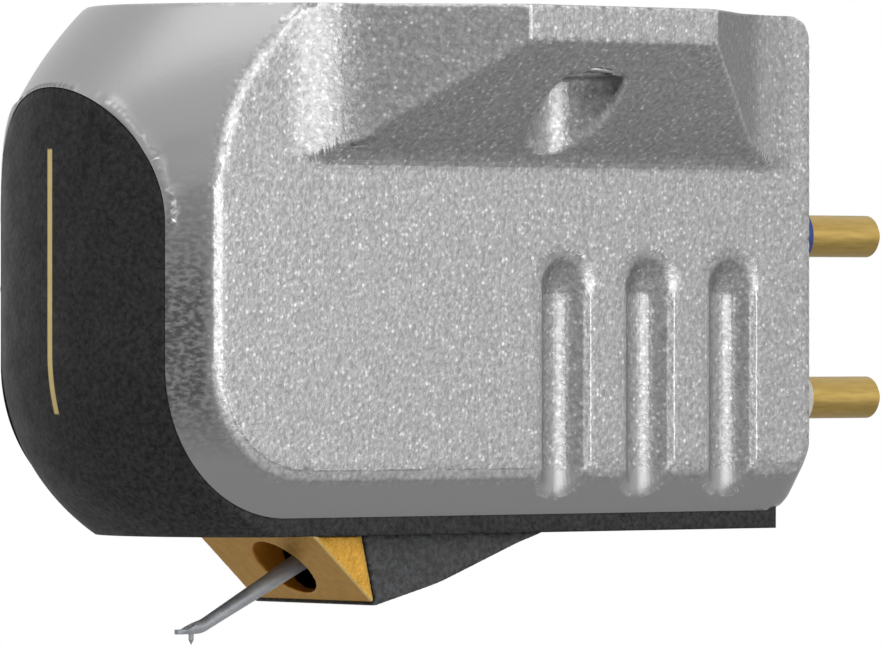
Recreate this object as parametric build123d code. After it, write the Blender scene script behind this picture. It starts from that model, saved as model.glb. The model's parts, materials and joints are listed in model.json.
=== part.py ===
from build123d import *
import math
import os

# A moving-coil phono cartridge. Millimetres, +Z up. The origin lies on the top mounting face,
# midway between the two headshell screws. The nose points to -X, the terminal pins to +X.
# "Reach" is a distance from the screw line along X, "depth" a distance below the top face.

# Headshell mounting
screw_spacing = 12.7
tapped_hole_diameter = 2.1
tapped_depth = 2.0
relief_hole_diameter = 2.7

# Aluminium body
body_width = 9.6
body_depth = 14.8
rear_reach = 10.5
rear_top_radius = 0.75
rear_bottom_radius = 0.8
ear_margin = 1.85
ear_edge_height = 1.05
ear_front_reach = 3.3
ear_rear_reach = 3.85
gusset_front_reach = 8.2
gusset_rear_reach = 8.4
ear_slope = 45.0
gusset_fillet = 1.5
underside_fillet = 0.8
ear_corner_radius = 0.3
side_wall = 1.4
top_wall = 2.0
front_wall = 1.2
rear_wall = 1.2

# Flutes in the side pads
flute_count = 3
flute_pitch = 3.25
flute_first_reach = 0.86
flute_width = 1.7
flute_cut = 0.55
flute_lip = 0.15
flute_lip_cut = 0.3
flute_top_depth = 7.27

# Bevel band round the front and lower edge of the pads
band_height = 1.25
band_run = 0.9
band_corner_radius = 4.4
rim_depth = 0.1
rim_width = 0.15

# Nose and base moulding
nose_reach = 14.43
nose_radius = 7.15
nose_round_radius = 6.54
nose_round_rise = 5.34
keel_wall = 1.2
arch_top_depth = 2.42
base_thickness = 0.54
base_rear_setback = 0.5

# Hood: the domed front of the body, sections of which are arches
hood_setback = 2.93
hood_radius = 4.98
hood_flare = 0.621
hood_bow = 0.067
hood_depth = 4.54
hood_rise = 0.169
hood_draft = 10.0
hood_sections = 4

# Terminals
pin_diameter = 1.27
pin_root_flats = 1.3
hexagon_sides = 6
pin_spacing_across = 4.6
pin_spacing_up = 4.9
pin_rise = 2.15
pin_projection = 4.65
pin_tail = 0.9
pin_end_chamfer = 0.15
collar_diameter = 1.86
collar_length = 1.7
window_margin = 0.1
flange_thickness = 0.8
flange_lip = 0.6
block_setback = 0.15

# Generator
generator_height = 5.34
yoke_width = 5.5
yoke_shank_width = 4.8
yoke_thickness = 1.84
yoke_front_reach = 6.98
yoke_drop = 1.97
yoke_toe_setback = 2.31
yoke_toe_flat = 0.1
yoke_hole_diameter = 2.1
yoke_hole_drop = 1.0
magnet_length = 4.9
magnet_width = 4.4
magnet_height = 2.5
rear_yoke_length = 2.0
rear_yoke_lift = 0.44

# Moving system, along the sloping cantilever axis
cantilever_slope = 26.4
cantilever_drop = 0.14
pivot_setback = 2.75
cantilever_root_diameter = 0.6
cantilever_end_diameter = 0.38
cantilever_wall = 0.085
bend_reach = 3.48
bend_radius = 0.8
tip_run = 0.87
tip_solid_run = 0.68
scoop_setback = 0.34
nib_length = 0.3
nib_thickness = 0.14
nib_end_width = 0.16
stylus_setback = 0.55
stylus_width = 0.11
stylus_seat = 0.28
stylus_projection = 0.3
stylus_point_length = 0.14
stylus_point_width = 0.014
sleeve_bore = 0.12
sleeve_length = 2.4
sleeve_plug = 0.4
armature_thickness = 0.4
armature_span = 2.1
armature_angle = 45.0
arm_width = 0.4
coil_build = 0.16
coil_length = 0.42
damper_diameter = 1.4
damper_thickness = 0.5
damper_hole = 0.4
pole_pin_diameter = 1.2
pole_pin_seat = 0.9
pole_pin_bore = 0.4
wire_diameter = 0.1
ferrule_diameter = 0.7
ferrule_length = 1.2
grub_screw_diameter = 1.0
grub_screw_socket = 0.5

# Coil leads: a lane beside the rear yoke, then in to the armature
lead_diameter = 0.12
lead_sides = 6
lead_straight = 1.2
lead_bend_radius = 0.6
lead_end_setback = 0.5
signal_floor_gap = 0.6
signal_end_half = 1.3
signal_end_lift = 1.25
ground_floor_gap = 1.2
ground_end_half = 0.9
ground_end_lift = 1.7

# Fairing under the base
fairing_overhang = 0.05
fairing_wall = 0.4
fairing_lip = 0.11
fairing_length = 7.0
fairing_heel_radius = 0.8
fairing_belly_run = 2.4
fairing_belly_rise = 0.62
fairing_belly_radius = 8.0
fairing_tail_run = 1.1
fairing_tail_drop = 0.34
fairing_tail_radius = 4.0

# Clearances
seat_gap = 0.04
bore_gap = 0.01
swing_gap = 0.08
wire_stop = 0.2

# How far cutting shapes run past the body
beyond = 40.0

# Lines that several pieces share
ear_span = screw_spacing + 2 * ear_margin
body_half = body_width / 2
keel_half = body_half - band_run
core_half = body_half - side_wall
core_bottom = -body_depth + keel_wall
base_bottom = -body_depth - base_thickness
base_rear = rear_reach - base_rear_setback
nose_round_top = base_bottom + nose_round_rise
nose_axis = -nose_reach + nose_radius
band_front = nose_axis - math.sqrt(nose_radius ** 2 - keel_half ** 2)
core_front = band_front + keel_wall
cavity_front = core_front + front_wall
cavity_rear = rear_reach - rear_wall
generator_top = base_bottom + generator_height
yoke_back = -yoke_front_reach + yoke_thickness
yoke_toe = -yoke_front_reach + yoke_toe_setback
magnet_back = yoke_back + magnet_length
rear_yoke_back = magnet_back + rear_yoke_length
block_rear = rear_reach - block_setback
pin_low = core_bottom + pin_rise
pin_high = pin_low + pin_spacing_up

# The cantilever axis runs a little below the centre of the yoke's hole, which lies on its sloping face
yoke_bottom = base_bottom - yoke_drop
toe_front = yoke_toe - yoke_toe_flat
hole_share = yoke_hole_drop / yoke_drop
hole_x = -yoke_front_reach + hole_share * (toe_front + yoke_front_reach)
hole_z = base_bottom - yoke_hole_drop
axis_x = math.cos(math.radians(cantilever_slope))
axis_z = math.sin(math.radians(cantilever_slope))
pivot = Vector(hole_x + pivot_setback * axis_x, 0, hole_z - cantilever_drop + pivot_setback * axis_z)
axis_plane = Plane(origin=pivot, x_dir=(0, 1, 0), z_dir=(axis_x, 0, axis_z))

# Stations along that axis, measured from the pivot, negative towards the stylus
damper_front = -damper_thickness / 2
pole_pin_front = damper_thickness / 2 + swing_gap
pole_pin_back = (magnet_back - pivot.X) / axis_x + pole_pin_seat
coil_back = damper_front - swing_gap
armature_back = coil_back - coil_build
armature_front = armature_back - armature_thickness
cantilever_back = armature_front - coil_build - seat_gap
cantilever_bore = cantilever_root_diameter - 2 * cantilever_wall
sleeve_front = coil_back - sleeve_length
bend_station = -pivot_setback - bend_reach
scoop_station = bend_station + scoop_setback
ferrule_back = pole_pin_back + seat_gap + ferrule_length

# The cantilever bends level near its end, and the level part carries the stylus
tip_level = pivot.Z + bend_station * axis_z
tip_end = pivot.X + bend_station * axis_x - tip_run
tip_bottom = tip_level - cantilever_end_diameter / 2
nib_top = tip_bottom + nib_thickness
nib_back = tip_end + nib_length
stylus_x = tip_end + stylus_setback
stylus_top = tip_bottom + stylus_seat
stylus_point = tip_bottom - stylus_projection
stylus_shoulder = stylus_point + stylus_point_length


def block(x0, x1, half_width, z0, z1):
    """A box, symmetric about the centre plane."""
    return Pos((x0 + x1) / 2, 0, (z0 + z1) / 2) * Box(x1 - x0, 2 * half_width, z1 - z0)


def side_prism(points, radii, y0, y1):
    """A side-view outline of (x, z) points, carried from y0 to y1."""
    outline = make_face(FilletPolyline(*points, radius=radii, close=True))
    return extrude(Plane((0, y1, 0), x_dir=(1, 0, 0), z_dir=(0, -1, 0)) * outline, y1 - y0)


def front_prism(face, x0, x1):
    """A front-view face in (y, z), carried from x0 to x1."""
    return extrude(Plane((x0, 0, 0), x_dir=(0, 1, 0), z_dir=(1, 0, 0)) * face, x1 - x0)


def axis_point(station):
    """The point at a station of the cantilever axis."""
    return Vector(pivot.X + station * axis_x, 0, pivot.Z + station * axis_z)


def rod(start, end, diameter):
    """A round bar on the cantilever axis between two stations."""
    return axis_plane * Pos(0, 0, (start + end) / 2) * Cylinder(diameter / 2, end - start)


def arch_face(half_width, top, bottom):
    """A round-headed outline in (y, z)."""
    spring = top - half_width
    head = ThreePointArc((-half_width, spring), (0, top), (half_width, spring))
    sides = Polyline((half_width, spring), (half_width, bottom), (-half_width, bottom), (-half_width, spring))
    return make_face(head + sides)


def hood_solid():
    """The domed front of the body: arches that widen and rise towards the rear."""
    draft = math.radians(hood_draft)
    station = -nose_reach + hood_setback
    front = -nose_reach - seat_gap
    rear = -gusset_front_reach + ear_corner_radius
    foot = base_bottom - keel_wall
    arches = []
    for number in range(hood_sections):
        x = front + (rear - front) * number / (hood_sections - 1)
        run = x - station
        radius = hood_radius + hood_flare * run - hood_bow * run ** 2
        centre = -hood_depth + hood_rise * run
        shoulder_y = radius * math.cos(draft)
        shoulder_z = centre + radius * math.sin(draft)
        foot_y = shoulder_y + (shoulder_z - foot) * math.tan(draft)
        head = ThreePointArc((-shoulder_y, shoulder_z), (0, centre + radius), (shoulder_y, shoulder_z))
        flanks = Polyline(
            (shoulder_y, shoulder_z), (foot_y, foot), (-foot_y, foot), (-shoulder_y, shoulder_z)
        )
        arches.append(Plane((x, 0, 0), x_dir=(0, 1, 0), z_dir=(1, 0, 0)) * make_face(head + flanks))
    return loft(arches), rear


def band_outline(inset):
    """Side outline of the body, drawn in by an inset along its front and lower edges."""
    front = band_front + inset
    bottom = -body_depth + inset
    points = [(front, 0), (front, bottom), (rear_reach, bottom), (rear_reach, 0)]
    radii = [0, band_corner_radius - inset, rear_bottom_radius, rear_top_radius]
    return points, radii


def core_prism(growth):
    """What the moulding wraps round: the body inside the keel's width."""
    points = [
        (core_front - growth, beyond),
        (core_front - growth, core_bottom - growth),
        (beyond, core_bottom - growth),
        (beyond, beyond),
    ]
    radii = [0, band_corner_radius - keel_wall + growth, 0, 0]
    return side_prism(points, radii, -beyond, beyond)


def ear_envelope():
    """Ear and pad of the -Y side: a plan outline met by a front outline, both open to +Y."""
    ear_half = ear_span / 2
    fall = math.tan(math.radians(ear_slope))
    plan = make_face(
        FilletPolyline(
            (-beyond, beyond),
            (-beyond, -body_half),
            (-gusset_front_reach, -body_half),
            (-ear_front_reach, -ear_half),
            (ear_rear_reach, -ear_half),
            (gusset_rear_reach, -body_half),
            (beyond, -body_half),
            (beyond, beyond),
            radius=[0, 0, gusset_fillet, ear_corner_radius, ear_corner_radius, gusset_fillet, 0, 0],
            close=True,
        )
    )
    front = make_face(
        FilletPolyline(
            (beyond, beyond),
            (-beyond, beyond),
            (-beyond, -ear_edge_height + (beyond - ear_half) * fall),
            (-body_half, -ear_edge_height - (ear_half - body_half) * fall),
            (-body_half, -beyond),
            (beyond, -beyond),
            radius=[0, 0, 0, underside_fillet, 0, 0],
            close=True,
        )
    )
    tall = extrude(Pos(0, 0, -beyond) * plan, 2 * beyond)
    return tall & front_prism(front, -2 * beyond, 2 * beyond)


def flutes():
    """Round-headed channels down both pads, open at the lower edge, each inside a shallow eased lip."""
    top = -flute_top_depth - flute_width / 2
    cuts = Part()
    for width, cut in ((flute_width, flute_cut), (flute_width + 2 * flute_lip, flute_lip_cut)):
        radius = (width ** 2 / 4 + cut ** 2) / (2 * cut)
        offset = body_half + radius - cut
        for number in range(flute_count):
            x = flute_first_reach + flute_pitch * number
            for side in (-1, 1):
                axis = Pos(x, side * offset, 0)
                cuts += axis * Pos(0, 0, (top - body_depth) / 2) * Cylinder(radius, top + body_depth)
                cuts += axis * Pos(0, 0, top) * Sphere(radius)
    return cuts


def body_casting():
    """The aluminium body: pads, ears, hood, rebates for the moulding, cavity and holes."""
    pad_inset = band_height + rim_width
    rim_inset = band_height * (1 - rim_depth / band_run)
    wings = side_prism(*band_outline(pad_inset), -ear_span, -body_half)
    outlines = []
    for y, inset in ((-keel_half, 0), (rim_depth - body_half, rim_inset), (-body_half, pad_inset)):
        points, radii = band_outline(inset)
        plane = Plane((0, y, 0), x_dir=(1, 0, 0), z_dir=(0, -1, 0))
        outlines.append(plane * make_face(FilletPolyline(*points, radius=radii, close=True)))
    band = loft(outlines, ruled=True)
    inner_points, inner_radii = band_outline(0)
    middle_points = [(-nose_reach, 0), (-nose_reach, -body_depth), *inner_points[2:]]
    middle = side_prism(middle_points, [0, 0, *inner_radii[2:]], -keel_half, 0)
    half = (wings + band + middle) & ear_envelope()
    body = half + mirror(half, about=Plane.XZ)
    hood, hood_rear = hood_solid()
    body -= block(-beyond, hood_rear, beyond, -beyond, beyond) - hood
    nose = Pos(nose_axis, 0, 0) * Cylinder(nose_radius, 4 * beyond)
    body -= block(-beyond, nose_axis, beyond, -beyond, beyond) - nose
    rebate = front_prism(arch_face(keel_half, -arch_top_depth, -beyond), -beyond, base_rear)
    body -= rebate - core_prism(0)
    body -= block(cavity_front, cavity_rear, core_half, -beyond, -top_wall)
    body -= flutes()
    window_half, window_z0, window_z1 = window()
    body -= block(cavity_rear, rear_reach, window_half, window_z0, window_z1)
    for side in (-1, 1):
        hole = Pos(0, side * screw_spacing / 2, 0)
        body -= hole * Cylinder(tapped_hole_diameter / 2, 2 * tapped_depth)
        relief = Cylinder(relief_hole_diameter / 2, beyond, align=(Align.CENTER, Align.CENTER, Align.MAX))
        body -= hole * Pos(0, 0, -tapped_depth) * relief
    return body


def window():
    """Opening in the rear wall: half width, lower and upper edge."""
    half = (pin_spacing_across + collar_diameter) / 2 + window_margin
    border = collar_diameter / 2 + window_margin
    return half, pin_low - border, pin_high + border


def nose_base():
    """Nose and base plate, moulded as one L-shaped shell, open for the generator."""
    round_centre = nose_radius - nose_round_radius
    sweep_angle = math.asin(nose_round_rise / nose_round_radius)
    foot = round_centre + nose_round_radius * math.cos(sweep_angle)
    middle = Vector(nose_round_radius, 0).rotate(Axis.Z, -math.degrees(sweep_angle) / 2)
    belly = ThreePointArc(
        (nose_radius, nose_round_top),
        (round_centre + middle.X, nose_round_top + middle.Y),
        (foot, base_bottom),
    )
    outline = Polyline(
        (foot, base_bottom), (0, base_bottom), (0, 0), (nose_radius, 0), (nose_radius, nose_round_top)
    )
    dome = Pos(nose_axis, 0, 0) * revolve(Plane.XZ * make_face(outline + belly), Axis.Z)
    shell = dome + block(nose_axis, base_rear - seat_gap, keel_half, base_bottom, 0)
    half = keel_half - seat_gap
    shell &= front_prism(arch_face(half, -arch_top_depth - seat_gap, -beyond), -beyond, beyond)
    hood, hood_rear = hood_solid()
    shell -= block(-beyond, hood_rear, beyond, -beyond, beyond) - hood
    shell -= core_prism(seat_gap)
    opening_front = -yoke_front_reach - seat_gap
    opening_half = yoke_shank_width / 2 + seat_gap
    return shell - block(opening_front, rear_yoke_back + seat_gap, opening_half, -beyond, 0)


def front_yoke():
    """Soft-iron yoke: a shank through the base and a wedge below it with the round hole."""
    shank = block(-yoke_front_reach, yoke_back, yoke_shank_width / 2, base_bottom, generator_top)
    wedge_points = [
        (-yoke_front_reach, base_bottom),
        (toe_front, yoke_bottom),
        (yoke_toe, yoke_bottom),
        (yoke_back, base_bottom),
    ]
    wedge = side_prism(wedge_points, 0, -yoke_width / 2, yoke_width / 2)
    return shank + wedge - Pos(0, 0, cantilever_drop) * rod(-2 * pivot_setback, 0, yoke_hole_diameter)


def magnet():
    """Bar magnet between the two yokes."""
    return block(yoke_back, magnet_back, magnet_width / 2, generator_top - magnet_height, generator_top)


def grub_screw_reach():
    """Where the grub screw stands: over the middle of the ferrule, and the depth it meets."""
    middle = axis_point(pole_pin_back + seat_gap + ferrule_length / 2)
    crown = middle.Z + (ferrule_diameter / 2 + seat_gap) / axis_x
    return middle.X, crown + grub_screw_diameter / 2 * axis_z / axis_x


def rear_yoke():
    """Soft-iron block that holds the pole pin and the suspension ferrule."""
    bottom = base_bottom + rear_yoke_lift
    iron = block(magnet_back, rear_yoke_back, yoke_shank_width / 2, bottom, generator_top)
    iron -= rod(0, pole_pin_back, pole_pin_diameter + 2 * bore_gap)
    iron -= rod(pole_pin_back, 2 * ferrule_back, ferrule_diameter + 2 * bore_gap)
    x, crown = grub_screw_reach()
    screw_hole = Cylinder(grub_screw_diameter / 2 + bore_gap, generator_top - crown + ferrule_diameter / 2)
    return iron - Pos(x, 0, (generator_top + crown - ferrule_diameter / 2) / 2) * screw_hole


def ferrule_screw():
    """Socket grub screw down through the rear yoke onto the ferrule."""
    x, crown = grub_screw_reach()
    length = generator_top - crown
    screw = Cylinder(grub_screw_diameter / 2, length)
    socket = RegularPolygon(grub_screw_socket / 2, hexagon_sides)
    recess = extrude(Pos(0, 0, length / 2 - grub_screw_socket) * socket, grub_screw_socket)
    return Pos(x, 0, (generator_top + crown) / 2) * (screw - recess)


def pole_pin():
    """Iron pin that faces the armature, bored for the suspension wire."""
    return rod(pole_pin_front, pole_pin_back, pole_pin_diameter) - rod(0, 2 * pole_pin_back, pole_pin_bore)


def wire_ferrule():
    """Tube crimped on the rear end of the suspension wire."""
    tube = rod(pole_pin_back + seat_gap, ferrule_back, ferrule_diameter)
    return tube - rod(0, 2 * ferrule_back, wire_diameter + 2 * bore_gap)


def suspension_wire():
    """Fine wire from the ferrule to the pivot inside the damper."""
    return rod(-wire_stop, ferrule_back, wire_diameter)


def damper():
    """Rubber disc between armature and pole pin."""
    disc = rod(damper_front, damper_thickness / 2, damper_diameter)
    return disc - rod(-damper_thickness, damper_thickness, damper_hole)


def joint_sleeve():
    """Tube that carries the armature and plugs into the cantilever."""
    outer = cantilever_bore - 2 * bore_gap
    return rod(sleeve_front, coil_back, outer) - rod(sleeve_front, coil_back - sleeve_plug, sleeve_bore)


def arm(angle, start, end, width, thickness):
    """A bar in the armature's plane, pointing outwards at an angle."""
    middle = (armature_back + armature_front) / 2
    return axis_plane * Pos(0, 0, middle) * Rot(0, 0, angle) * Pos((start + end) / 2, 0, 0) * Box(
        end - start, width, thickness
    )


def armature():
    """Cross-shaped coil former."""
    half = armature_span / 2
    cross = arm(armature_angle, -half, half, arm_width, armature_thickness)
    cross += arm(armature_angle + 90, -half, half, arm_width, armature_thickness)
    return cross - rod(armature_front - arm_width, 0, cantilever_bore)


def coil(first_angle):
    """One channel's winding: a bobbin of wire on each of two opposite arms."""
    end = armature_span / 2 - coil_build / 2
    width = arm_width + 2 * coil_build
    thickness = armature_thickness + 2 * coil_build
    windings = []
    for angle in (first_angle, first_angle + 180):
        turn = arm(angle, end - coil_length, end, width, thickness)
        bore = arm(angle, 0, armature_span, arm_width + 2 * bore_gap, armature_thickness + 2 * bore_gap)
        windings.append(turn - bore)
    return Compound(children=[solid for winding in windings for solid in winding.solids()])


def level_rod(start, end, diameter):
    """A round bar along the level end of the cantilever's centre line, between two places on X."""
    return Plane((start, 0, tip_level), z_dir=(1, 0, 0)) * extrude(Circle(diameter / 2), end - start)


def bent_tip():
    """The end of the tube, from the start of its opening round the bend to the nib."""
    path = FilletPolyline(
        axis_point(scoop_station),
        axis_point(bend_station),
        Vector(tip_end, 0, tip_level),
        radius=bend_radius,
    )
    return sweep(Plane(path @ 0, z_dir=path % 0) * Circle(cantilever_end_diameter / 2), path)


def cantilever():
    """Tapered tube, bent level at its end, cut open from above and pinched to a nib."""
    end_radius = cantilever_end_diameter / 2
    length = cantilever_back - scoop_station
    taper = Cone(end_radius, cantilever_root_diameter / 2, length)
    tube = axis_plane * Pos(0, 0, scoop_station + length / 2) * taper
    bore = cantilever_end_diameter - 2 * cantilever_wall
    bend = axis_point(bend_station)
    tube += bent_tip()
    tube -= level_rod(tip_end + tip_solid_run, bend.X, bore) + rod(bend_station, 0, bore)
    tube -= rod(sleeve_front - bore_gap, 0, cantilever_bore)
    opened = axis_point(scoop_station) + Vector(-axis_z, 0, axis_x) * end_radius
    scoop = [(opened.X, opened.Z), (nib_back, nib_top), (-beyond, nib_top), (-beyond, opened.Z)]
    tube -= side_prism(scoop, 0, -beyond, beyond)
    for side in (-1, 1):
        trim = Polyline(
            (nib_back, side * end_radius),
            (tip_end, side * nib_end_width / 2),
            (tip_end - nib_length, side * nib_end_width / 2),
            (tip_end - nib_length, side * beyond),
            (nib_back, side * beyond),
            close=True,
        )
        tube -= extrude(Pos(0, 0, -beyond) * make_face(trim), 2 * beyond)
    return tube - stylus_shank(stylus_width + 2 * bore_gap)


def stylus_shank(width):
    """The straight square part of the diamond, as a bar of a given width."""
    return block(stylus_x - width / 2, stylus_x + width / 2, width / 2, stylus_shoulder, stylus_top)


def stylus():
    """Diamond: an upright square shank ground to a point."""
    point = loft(
        [
            Pos(stylus_x, 0, stylus_shoulder) * Rectangle(stylus_width, stylus_width),
            Pos(stylus_x, 0, stylus_point) * Rectangle(stylus_point_width, stylus_point_width),
        ],
        ruled=True,
    )
    return stylus_shank(stylus_width) + point


def stylus_fairing():
    """Hollow wedge that covers the generator below the base, with a lip under the yoke."""
    floor = yoke_bottom - fairing_lip
    heel = yoke_toe + seat_gap
    rear = yoke_back + fairing_length
    half = yoke_width / 2 + fairing_overhang
    belly = heel + fairing_belly_run
    tail = rear - fairing_tail_run
    outer = side_prism(
        [
            (yoke_back + seat_gap, base_bottom),
            (heel, yoke_bottom - seat_gap),
            (toe_front, yoke_bottom - seat_gap),
            (toe_front, floor),
            (heel, floor),
            (belly, floor + fairing_belly_rise),
            (tail, base_bottom - fairing_tail_drop),
            (rear, base_bottom),
        ],
        [0, 0, 0, 0, fairing_heel_radius, fairing_belly_radius, fairing_tail_radius, 0],
        -half,
        half,
    )
    inner = side_prism(
        [
            (-beyond, 0),
            (-beyond, floor + fairing_wall),
            (heel, floor + fairing_wall),
            (belly, floor + fairing_belly_rise + fairing_wall),
            (tail, base_bottom - fairing_tail_drop + fairing_wall),
            (tail, 0),
        ],
        0,
        -half + fairing_wall,
        half - fairing_wall,
    )
    return outer - inner


def terminal_block():
    """Moulded block in the rear window, with a flange behind the rear wall."""
    half, z0, z1 = window()
    plug = block(cavity_rear, block_rear, half - seat_gap, z0 + seat_gap, z1 - seat_gap)
    flange = block(
        cavity_rear - flange_thickness, cavity_rear, core_half - seat_gap, z0 - flange_lip, z1 + flange_lip
    )
    moulding = plug + flange
    for y, z in pin_places():
        moulding -= pin_root(y, z, bore_gap, 0, beyond)
    return moulding


def pin_places():
    """Pin centres: lower left, upper left, lower right, upper right."""
    places = []
    for y in (-pin_spacing_across / 2, pin_spacing_across / 2):
        for z in (pin_low, pin_high):
            places.append((y, z))
    return places


def pin_tail_reach():
    """Inner end of the pins, where the leads are soldered on."""
    return cavity_rear - flange_thickness - pin_tail


def pin_root(y, z, gap, start, end):
    """Hexagonal bar along a pin's axis, as large as the pin's root and a gap all round."""
    hexagon = RegularPolygon(pin_root_flats / 2 + gap, hexagon_sides, major_radius=False)
    return extrude(Plane((start, y, z), x_dir=(0, 1, 0), z_dir=(1, 0, 0)) * hexagon, end - start)


def terminal_pin(y, z):
    """Gold-plated pin: round and blunt outside, hexagonal where block and collar hold it."""
    tip = rear_reach + pin_projection
    shoulder = block_rear + collar_length
    outline = Polyline(
        (shoulder, 0),
        (shoulder, pin_diameter / 2),
        (tip - pin_end_chamfer, pin_diameter / 2),
        (tip, pin_diameter / 2 - pin_end_chamfer),
        (tip, 0),
        close=True,
    )
    shaft = Pos(0, y, z) * revolve(make_face(outline), Axis.X)
    return shaft + pin_root(y, z, 0, pin_tail_reach(), shoulder)


def pin_collar(y, z):
    """Colour-code collar on a pin, against the terminal block."""
    sleeve = Plane((block_rear, y, z), x_dir=(0, 1, 0), z_dir=(1, 0, 0)) * extrude(
        Circle(collar_diameter / 2), collar_length
    )
    return sleeve - pin_root(y, z, bore_gap, 0, beyond)


def coil_lead(pin, floor_gap, end_half, end_lift):
    """Hair-fine wire, of six-sided section, from a pin's inner end past the rear yoke to the armature."""
    y, z = pin
    side = math.copysign(1, y)
    lane = side * (yoke_shank_width / 2 + core_half) / 2
    run = core_bottom + floor_gap
    path = FilletPolyline(
        (pin_tail_reach(), y, z),
        (pin_tail_reach() - lead_straight, y, z),
        (rear_yoke_back + lead_straight, lane, run),
        (magnet_back, lane, run),
        (pivot.X + lead_end_setback, side * end_half, pivot.Z + end_lift),
        radius=lead_bend_radius,
    )
    return sweep(Plane(path @ 0, z_dir=path % 0) * RegularPolygon(lead_diameter / 2, lead_sides), path)


def signal_lead(pin):
    """Lead of a lower pin."""
    return coil_lead(pin, signal_floor_gap, signal_end_half, signal_end_lift)


def ground_lead(pin):
    """Lead of an upper pin."""
    return coil_lead(pin, ground_floor_gap, ground_end_half, ground_end_lift)


lower_left, upper_left, lower_right, upper_right = pin_places()
nodes = {
    "body_casting": body_casting(),
    "nose_base": nose_base(),
    "stylus_fairing": stylus_fairing(),
    "front_yoke": front_yoke(),
    "magnet": magnet(),
    "rear_yoke": rear_yoke(),
    "pole_pin": pole_pin(),
    "wire_ferrule": wire_ferrule(),
    "ferrule_screw": ferrule_screw(),
    "suspension_wire": suspension_wire(),
    "damper": damper(),
    "armature": armature(),
    "coil_left": coil(armature_angle),
    "coil_right": coil(armature_angle + 90),
    "joint_sleeve": joint_sleeve(),
    "cantilever": cantilever(),
    "stylus": stylus(),
    "terminal_block": terminal_block(),
    "pin_left_signal": terminal_pin(*lower_left),
    "pin_left_ground": terminal_pin(*upper_left),
    "pin_right_signal": terminal_pin(*lower_right),
    "pin_right_ground": terminal_pin(*upper_right),
    "collar_white": pin_collar(*lower_left),
    "collar_blue": pin_collar(*upper_left),
    "collar_red": pin_collar(*lower_right),
    "collar_green": pin_collar(*upper_right),
    "lead_left_signal": signal_lead(lower_left),
    "lead_left_ground": ground_lead(upper_left),
    "lead_right_signal": signal_lead(lower_right),
    "lead_right_ground": ground_lead(upper_right),
}

os.makedirs("parts", exist_ok=True)
for name, shape in nodes.items():
    export_step(shape, f"parts/{name}.step")
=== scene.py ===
import json
import math

import bmesh
import bpy
import numpy as np
from mathutils import Matrix, Vector

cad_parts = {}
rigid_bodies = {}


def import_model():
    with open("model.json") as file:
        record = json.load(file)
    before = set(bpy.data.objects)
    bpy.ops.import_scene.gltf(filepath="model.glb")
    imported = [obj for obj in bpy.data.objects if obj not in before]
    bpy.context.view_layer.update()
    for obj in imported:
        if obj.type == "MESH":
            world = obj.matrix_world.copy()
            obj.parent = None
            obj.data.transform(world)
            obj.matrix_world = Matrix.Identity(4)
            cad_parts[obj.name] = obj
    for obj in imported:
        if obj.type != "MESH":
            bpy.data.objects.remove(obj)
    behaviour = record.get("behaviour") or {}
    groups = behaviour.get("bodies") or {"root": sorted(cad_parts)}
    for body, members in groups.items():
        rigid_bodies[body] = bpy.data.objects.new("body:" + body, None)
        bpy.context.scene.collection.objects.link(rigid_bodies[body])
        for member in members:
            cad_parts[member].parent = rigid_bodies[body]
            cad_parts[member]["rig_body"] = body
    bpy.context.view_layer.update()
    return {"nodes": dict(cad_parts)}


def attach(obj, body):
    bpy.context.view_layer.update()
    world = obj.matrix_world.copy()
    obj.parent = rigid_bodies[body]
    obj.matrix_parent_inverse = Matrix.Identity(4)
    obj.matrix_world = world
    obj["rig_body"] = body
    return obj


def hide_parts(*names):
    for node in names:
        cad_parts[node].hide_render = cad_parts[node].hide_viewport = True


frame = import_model()

# Body: a die-cast and machined block of aluminium, bead-blasted and clear anodised.
# Its pads and ears keep the coarse blasted grain; the domed hood and the bevel band
# were rubbed down before anodising, so they are smoother. Blasting has eased every edge.
MM = 0.001
FACET = 0.1
SHARP = math.radians(35)
CRISP = math.radians(45)
BODY_GRAIN = 0.24
BODY_TRIANGLES = 190000
NOSE_AXIS = -7.28
NOSE_RADIUS = 7.15
HOOD_STATION = -11.5
HOOD_REAR = -7.9
HOOD_DRAFT = math.radians(10)
HOOD_RADIUS = (4.98, 0.621, -0.067)
HOOD_CENTRE = (-4.54, 0.169)
ARCH_SPRING = -6.32
BAND_INNER = 3.9
BAND_OUTER = 4.8
BAND_HEIGHT = 1.25
RIM_START = 4.7
RIM_SLOPE = 1.5
BAND_CORNER = (-8.873, -10.4)
BAND_CORNER_RADIUS = 4.4
GUSSETS = ((-8.2, 1, math.atan2(3.4, 4.9)), (8.4, -1, math.atan2(3.4, 4.55)))
GUSSET_HOLLOW = 4.5
UNDERSIDE = 9.25
HOLE_SIDE = 6.35
HOLE_RADII = (1.05, 1.35)
SEAM_REACH = 0.05
WALL_REACH = 0.06
SEAM_HELD = 0.1
SEAM_FADE = 0.3
CAVITY_HALF = 3.5
CAVITY_TOP = -1.9
CAVITY_FRONT = -11
FLUTE_FLOOR = 4.1
FLUTE_FRONT = -0.5
FLUTE_REAR = 9
FLUTE_TOP = -6.8
REAR_WALL = 9.5


def linear(code):
    """Turns an sRGB hex code into a linear colour with alpha."""
    channels = [int(code[place:place + 2], 16) / 255 for place in (1, 3, 5)]
    return [c / 12.92 if c <= 0.04045 else ((c + 0.055) / 1.055) ** 2.4 for c in channels] + [1.0]


def put(tree, kind, inputs=None, **settings):
    """Adds a node with its settings, then fills its inputs with values or links."""
    made = tree.nodes.new(kind)
    for name, value in settings.items():
        setattr(made, name, value)
    for key, value in (inputs or {}).items():
        if isinstance(value, bpy.types.NodeSocket):
            tree.links.new(value, made.inputs[key])
        else:
            made.inputs[key].default_value = value
    return made


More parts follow.
